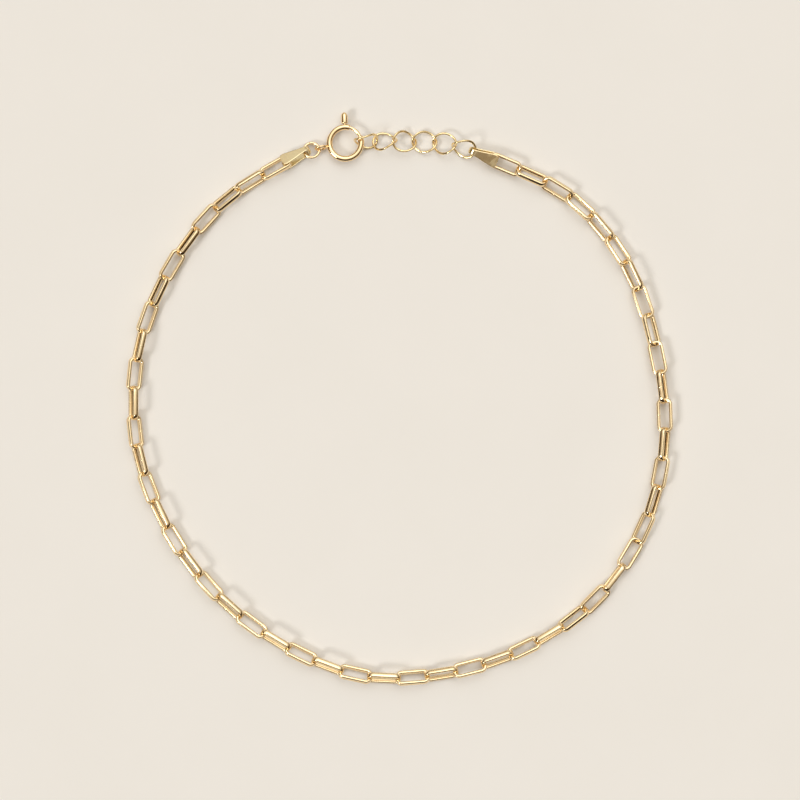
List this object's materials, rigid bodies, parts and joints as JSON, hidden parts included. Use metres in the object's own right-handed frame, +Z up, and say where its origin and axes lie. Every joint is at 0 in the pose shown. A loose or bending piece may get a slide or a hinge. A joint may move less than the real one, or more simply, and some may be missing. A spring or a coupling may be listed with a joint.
{
  "type": "chain anklet",
  "caption": "Fine gold paperclip-link chain anklet lying flat as a closed ring, with folded end tabs, a short round-link extender and a spring ring clasp.",
  "frame": {"origin": "middle of the underside of the whole anklet's box, on the surface that it lies on", "axes": "+Z up through the ring of the chain, +Y towards the clasp's trigger, +X towards the extender's end tab"},
  "size_m": [0.082, 0.086, 0.0032],
  "materials": {
    "chain_gold": "polished yellow gold plating",
    "tab_gold": "polished yellow gold plating, a little darker",
    "ring_gold": "polished yellow gold plating",
    "clasp_gold": "polished yellow gold plating",
    "extender_gold": "polished yellow gold plating"
  },
  "bodies": {
    "anklet": {"paperclip_chain": "chain_gold", "end_tab_left": "tab_gold", "end_tab_right": "tab_gold", "jump_ring": "ring_gold", "clasp_body": "clasp_gold", "extender_link_1": "extender_gold", "extender_link_2": "extender_gold", "extender_link_3": "extender_gold", "extender_link_4": "extender_gold", "extender_link_5": "extender_gold", "extender_link_6": "extender_gold"},
    "bolt": {"clasp_bolt": "clasp_gold"}
  },
  "joints": [
    {"name": "bolt_slide", "type": "hinge", "parent": "anklet", "child": "bolt", "pos_m": [-0.00813, 0.0384, 0.00111], "axis": [-0.0659, -0.0087, 0.9978], "range_deg": [0, 58], "stiffness_Nm_per_rad": 0.002}
  ]
}
